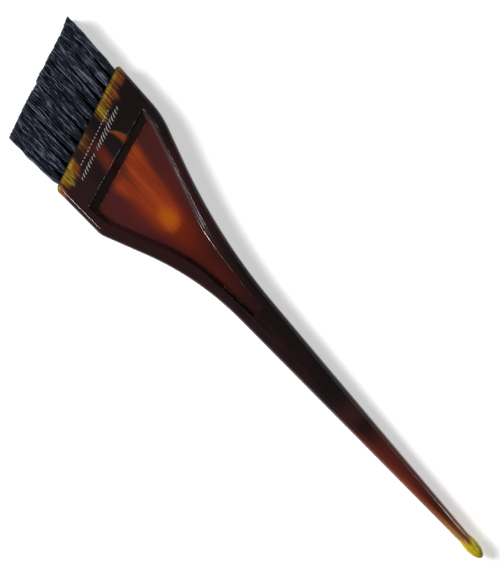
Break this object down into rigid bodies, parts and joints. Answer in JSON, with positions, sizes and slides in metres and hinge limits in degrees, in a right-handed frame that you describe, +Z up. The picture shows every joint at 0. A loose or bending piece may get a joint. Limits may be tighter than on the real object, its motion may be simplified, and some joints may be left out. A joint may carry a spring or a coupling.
{
  "type": "tint brush",
  "caption": "Slant-headed hair tint brush: one-piece tortoiseshell handle with thumb recesses and a long tapered tail, tufted with stiff black filament.",
  "frame": {"origin": "middle of the brush's footprint, on the surface that its back lies on", "axes": "+X from the tail to the bristle tips, +Y towards the short side of the slanted head, +Z up out of the front face"},
  "size_m": [0.2144, 0.0411, 0.0092],
  "materials": {
    "handle": "polished translucent tortoiseshell plastic",
    "filament": "black nylon filament with a satin sheen",
    "anchor_wire": "bare drawn flat wire"
  },
  "bodies": {
    "root": {"handle": "handle", "tuft_front_01": "filament", "tuft_front_02": "filament", "tuft_front_03": "filament", "tuft_front_04": "filament", "tuft_front_05": "filament", "tuft_front_06": "filament", "tuft_front_07": "filament", "tuft_front_08": "filament", "tuft_front_09": "filament", "tuft_front_10": "filament", "tuft_front_11": "filament", "anchor_wires_front": "anchor_wire", "tuft_middle_01": "filament", "tuft_middle_02": "filament", "tuft_middle_03": "filament", "tuft_middle_04": "filament", "tuft_middle_05": "filament", "tuft_middle_06": "filament", "tuft_middle_07": "filament", "tuft_middle_08": "filament", "tuft_middle_09": "filament", "tuft_middle_10": "filament", "anchor_wires_middle": "anchor_wire", "tuft_back_01": "filament", "tuft_back_02": "filament", "tuft_back_03": "filament", "tuft_back_04": "filament", "tuft_back_05": "filament", "tuft_back_06": "filament", "tuft_back_07": "filament", "tuft_back_08": "filament", "tuft_back_09": "filament", "tuft_back_10": "filament", "tuft_back_11": "filament", "anchor_wires_back": "anchor_wire"}
  },
  "joints": []
}
